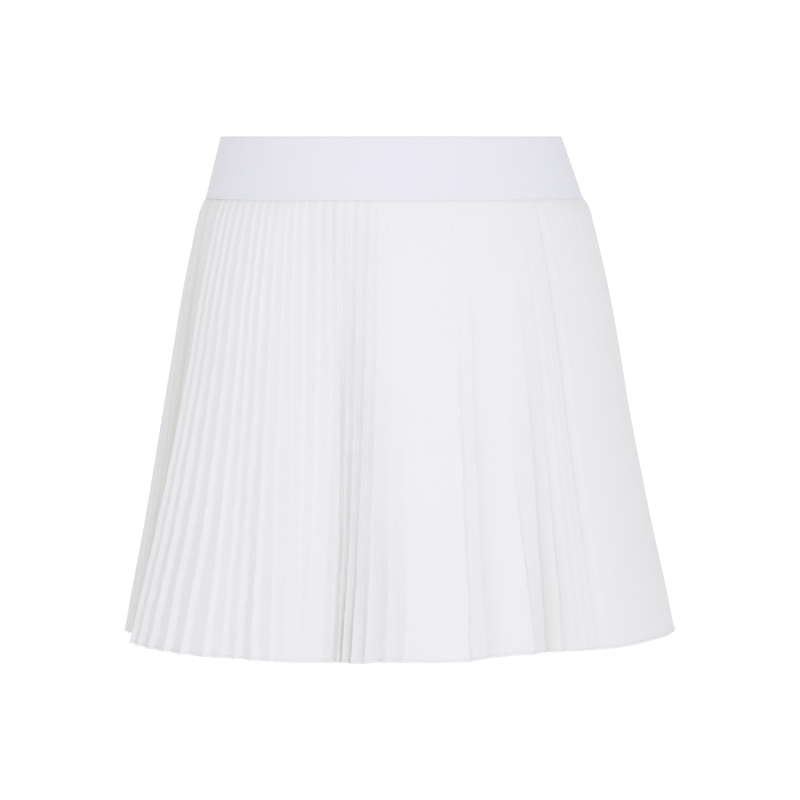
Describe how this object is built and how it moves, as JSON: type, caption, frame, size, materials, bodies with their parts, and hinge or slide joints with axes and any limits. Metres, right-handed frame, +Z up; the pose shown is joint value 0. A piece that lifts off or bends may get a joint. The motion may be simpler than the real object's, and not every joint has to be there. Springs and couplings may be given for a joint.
{
  "type": "tennis skirt",
  "caption": "Short pleated tennis skirt with a wide smooth elastic waistband, held open in its worn shape.",
  "frame": {"origin": "centre of the waist opening at mid height of the waistband", "axes": "+Z up through the waist opening; +X to the right as seen from the front; +Y towards the back"},
  "size_m": [0.4179, 0.3149, 0.372],
  "materials": {
    "waistband_elastic": "smooth matte cool white knitted elastic",
    "pleated_cloth": "matte white woven polyester with pressed knife pleats"
  },
  "bodies": {
    "root": {"waistband": "waistband_elastic", "front_panel": "pleated_cloth", "back_panel": "pleated_cloth"}
  },
  "joints": []
}
